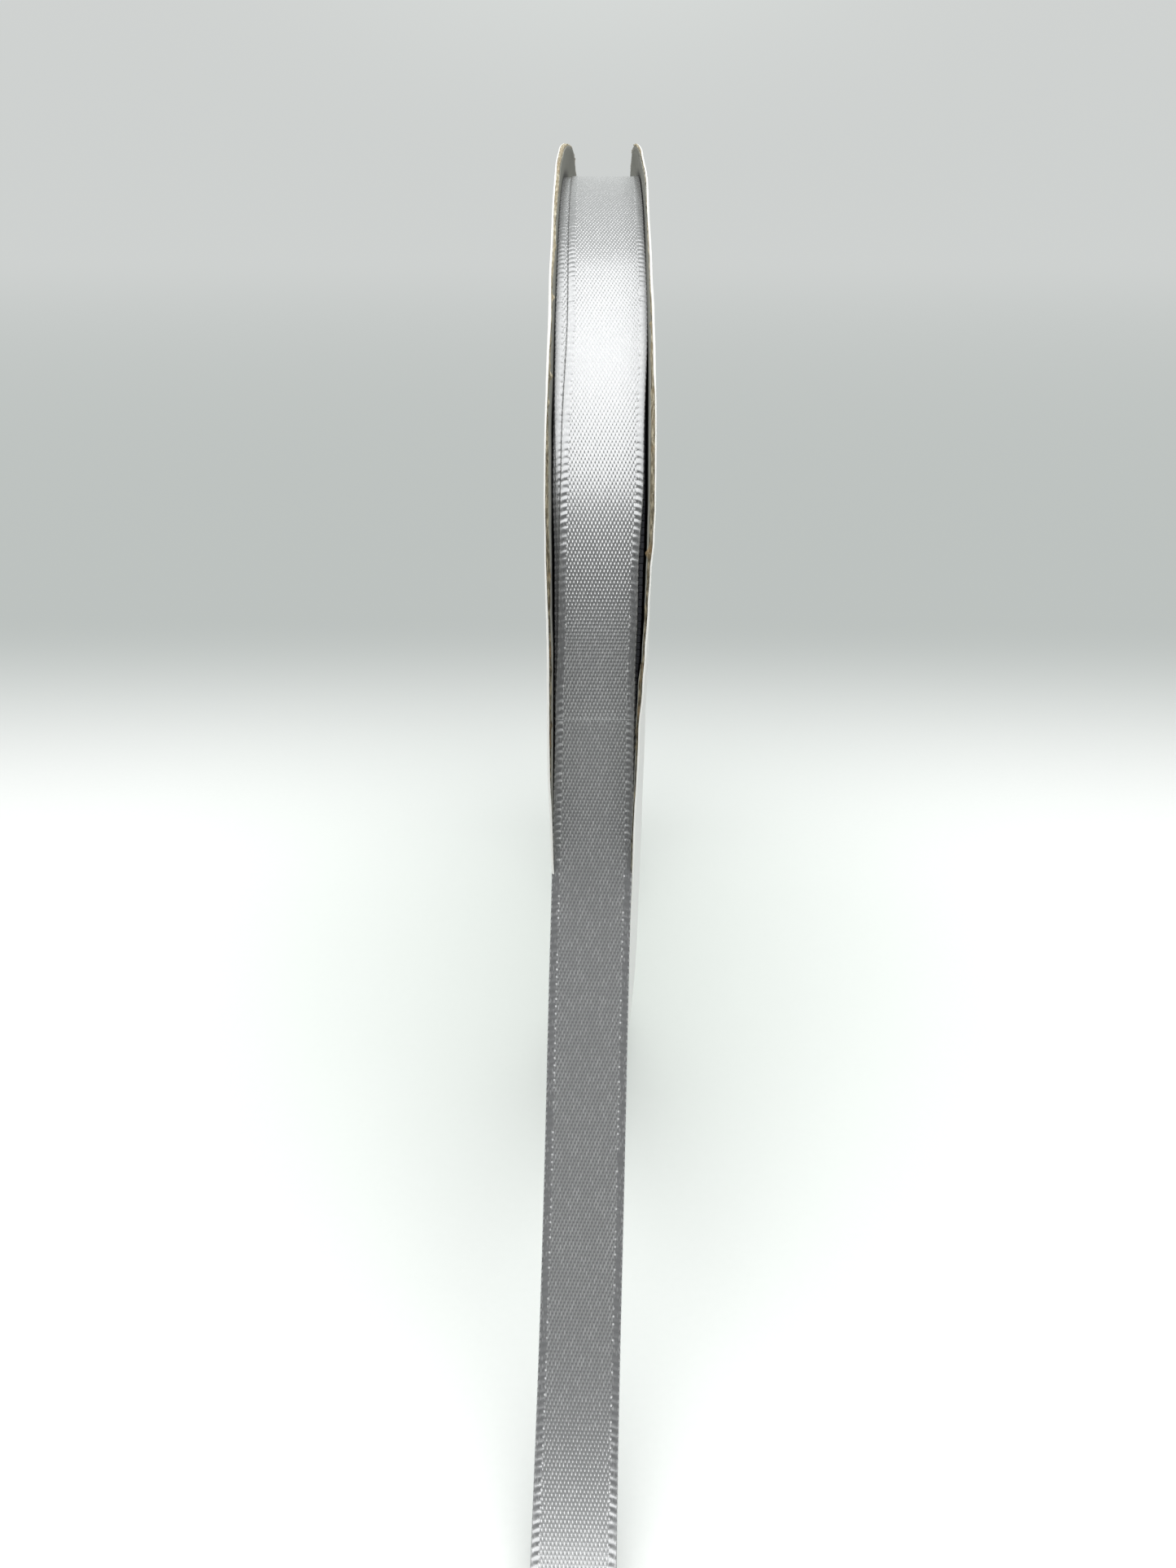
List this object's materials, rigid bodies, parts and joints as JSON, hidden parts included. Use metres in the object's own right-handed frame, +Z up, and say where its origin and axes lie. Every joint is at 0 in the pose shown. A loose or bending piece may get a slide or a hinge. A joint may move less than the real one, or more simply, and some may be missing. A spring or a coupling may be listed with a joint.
{
  "type": "ribbon reel",
  "caption": "Narrow card-flanged reel wound with grey satin ribbon, standing on its rims with the ribbon's free end pulled down to the floor.",
  "frame": {"origin": "on the floor, under the middle of the reel, where the two flange rims stand", "axes": "+X along the reel's axis, +Z up, and the free ribbon leaves towards -Y"},
  "size_m": [0.0146, 0.2345, 0.155],
  "materials": {
    "ribbon": "silver-grey polyester satin, glossy along the warp, with a looped selvage",
    "grey_board": "raw tan-grey board with a fibrous die-cut edge",
    "cover_paper": "smooth white cover paper, slightly coated",
    "liner_paper": "plain grey liner paper, matte",
    "core_board": "spiral-wound brown paperboard",
    "glue": "dried white glue",
    "tape": "cream paper tape"
  },
  "bodies": {
    "root": {"left_board": "grey_board", "right_board": "grey_board", "left_cover_paper": "cover_paper", "right_cover_paper": "cover_paper", "left_liner_paper": "liner_paper", "right_liner_paper": "liner_paper", "left_glue_ring": "glue", "right_glue_ring": "glue", "core_tube": "core_board", "start_tape": "tape", "ribbon_winding": "ribbon", "second_lap": "ribbon", "top_lap": "ribbon", "ribbon_tail": "ribbon"}
  },
  "joints": []
}
